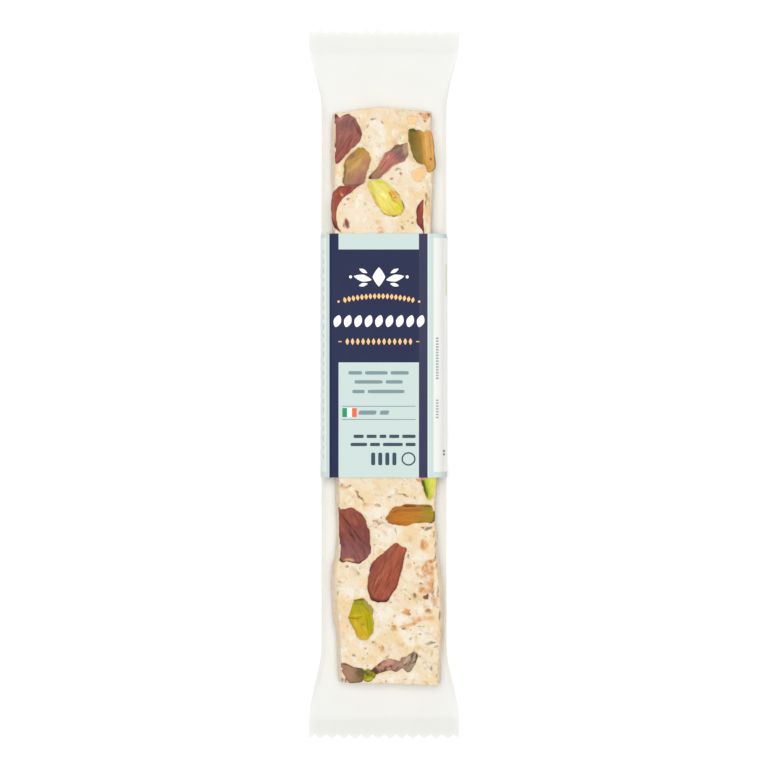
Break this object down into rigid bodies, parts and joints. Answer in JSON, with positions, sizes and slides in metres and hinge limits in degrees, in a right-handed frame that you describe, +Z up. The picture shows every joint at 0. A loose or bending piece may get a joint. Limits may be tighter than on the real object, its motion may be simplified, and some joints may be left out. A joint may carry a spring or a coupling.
{
  "type": "nougat bar in film wrap",
  "caption": "Nougat bar with almonds and pistachios, sealed in a clear flow-wrap film with toothed ends and a printed paper band round the middle.",
  "frame": {"origin": "on the table, under the middle of the pack's box", "axes": "+X across the pack, +Y along it towards the end with the longer empty film, +Z up through the printed face"},
  "size_m": [0.0504, 0.2384, 0.0143],
  "materials": {
    "film": "gloss",
    "label": "satin",
    "nougat": "matte",
    "almond": "matte",
    "pistachio": "matte"
  },
  "bodies": {
    "root": {"film_wrap": "film", "label_band": "label"}
  },
  "joints": []
}
